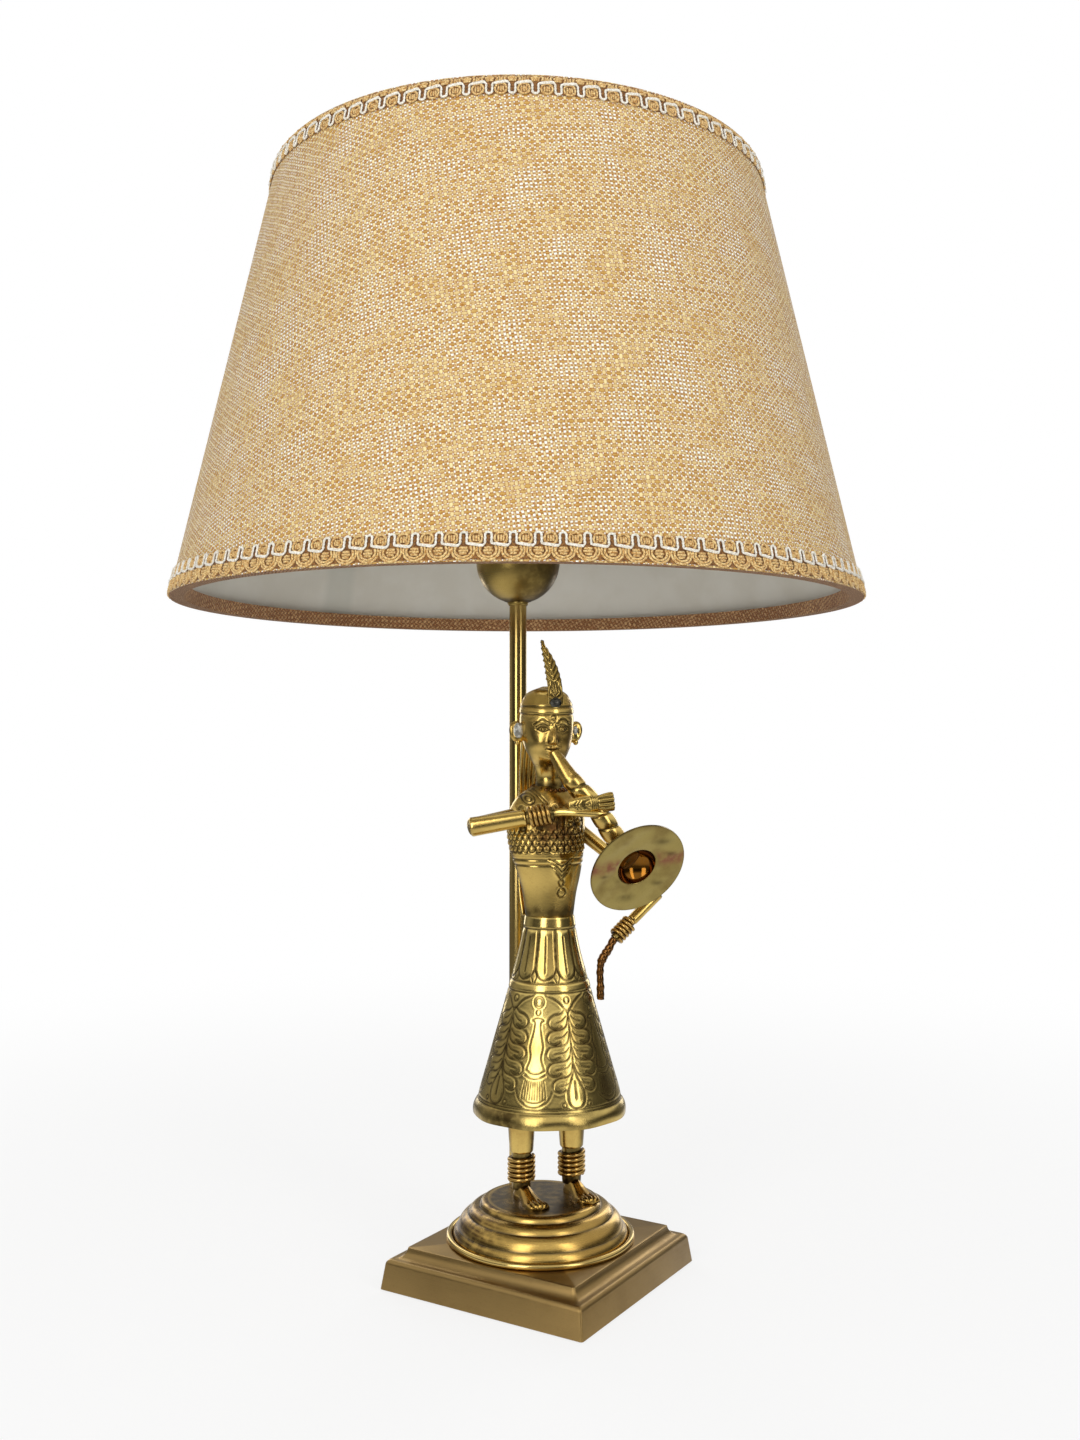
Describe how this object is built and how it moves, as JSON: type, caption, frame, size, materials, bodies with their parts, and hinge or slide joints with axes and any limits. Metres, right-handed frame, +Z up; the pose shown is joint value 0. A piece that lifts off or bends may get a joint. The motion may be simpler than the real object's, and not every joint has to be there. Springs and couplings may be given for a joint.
{
  "type": "table lamp",
  "caption": "Brass table lamp: a folk figure blowing a horn on a stepped base, in front of a pole that carries a tapered jute shade with braid trims on a harp.",
  "frame": {"origin": "on the table, under the axis that the pole and the shade share", "axes": "+Z up along the pole, -Y the side that the figure faces, +X to the viewer's right"},
  "size_m": [0.3559, 0.3558, 0.5626],
  "materials": {
    "plinth_bronze": "satin brushed brown bronze",
    "dome_brass": "polished brass with brown patina",
    "antique_brass": "satin antique brass",
    "figure_brass": "satin brass with dark patina in the recesses",
    "wound_brass": "bright wire with brown recesses",
    "fitting_brass": "plain bright brass",
    "steel": "zinc plated",
    "felt": "green felt",
    "jute": "plain woven jute",
    "braid": "tan and white gimp braid",
    "liner_film": "white styrene film",
    "bulb_glass": "frosted",
    "moulding": "black moulding",
    "lead_cover": "gold insulated lead"
  },
  "bodies": {
    "base": {"base_plinth": "plinth_bronze", "pedestal_dome": "dome_brass", "pedestal_ring": "dome_brass", "lamp_pole": "antique_brass", "pole_collar": "antique_brass", "socket_cup": "antique_brass", "skirt": "figure_brass", "skirt_plate": "figure_brass", "torso": "figure_brass", "head": "figure_brass", "feather": "figure_brass", "ears": "figure_brass", "hair_braid": "figure_brass", "horn_tube": "figure_brass", "horn_bell": "figure_brass", "right_leg": "figure_brass", "left_leg": "figure_brass", "right_upper_arm": "figure_brass", "left_upper_arm": "figure_brass", "right_forearm": "figure_brass", "left_forearm": "figure_brass", "right_hand": "figure_brass", "left_hand": "figure_brass", "right_anklet": "wound_brass", "left_anklet": "wound_brass", "right_bangles": "wound_brass", "left_bangles": "wound_brass", "harp_wire": "fitting_brass", "harp_saddle": "fitting_brass", "harp_stud": "fitting_brass", "socket_cap": "fitting_brass", "socket_shell": "fitting_brass", "socket_screw_shell": "fitting_brass", "socket_contact": "fitting_brass", "base_plate": "steel", "base_plate_screws": "steel", "pedestal_stud": "steel", "pedestal_nut": "steel", "pole_washer": "steel", "pole_nut": "steel", "felt_pad": "felt", "socket_base": "moulding", "terminal_block": "moulding", "cord_bush": "moulding", "lead_wire": "lead_cover"},
    "shade": {"shade_fabric": "jute", "shade_liner": "liner_film", "shade_bottom_ring": "steel", "shade_top_ring": "steel", "shade_spider": "steel", "shade_bottom_trim": "braid", "shade_top_trim": "braid"},
    "finial": {"finial": "fitting_brass"},
    "bulb": {"bulb_cap": "fitting_brass", "bulb_globe": "bulb_glass"},
    "switch_knob": {"switch_knob": "moulding"},
    "right_harp_sleeve": {"right_harp_sleeve": "fitting_brass"},
    "left_harp_sleeve": {"left_harp_sleeve": "fitting_brass"}
  },
  "joints": [
    {"name": "shade_turn", "type": "hinge", "parent": "base", "child": "shade", "pos_m": [0, 0, 0.5415], "axis": [0, 0, 1], "continuous": true},
    {"name": "finial_turn", "type": "hinge", "parent": "base", "child": "finial", "pos_m": [0, 0, 0.5526], "axis": [0, 0, 1], "continuous": true},
    {"name": "bulb_turn", "type": "hinge", "parent": "base", "child": "bulb", "pos_m": [0, 0, 0.3961], "axis": [0, 0, 1], "continuous": true},
    {"name": "switch_knob_turn", "type": "hinge", "parent": "base", "child": "switch_knob", "pos_m": [0, 0.0238, 0.37397], "axis": [0, 1, 0], "continuous": true},
    {"name": "right_harp_sleeve_slide", "type": "slide", "parent": "base", "child": "right_harp_sleeve", "axis": [0, 0, 1], "range_m": [0, 0.01]},
    {"name": "left_harp_sleeve_slide", "type": "slide", "parent": "base", "child": "left_harp_sleeve", "axis": [0, 0, 1], "range_m": [0, 0.01]}
  ]
}
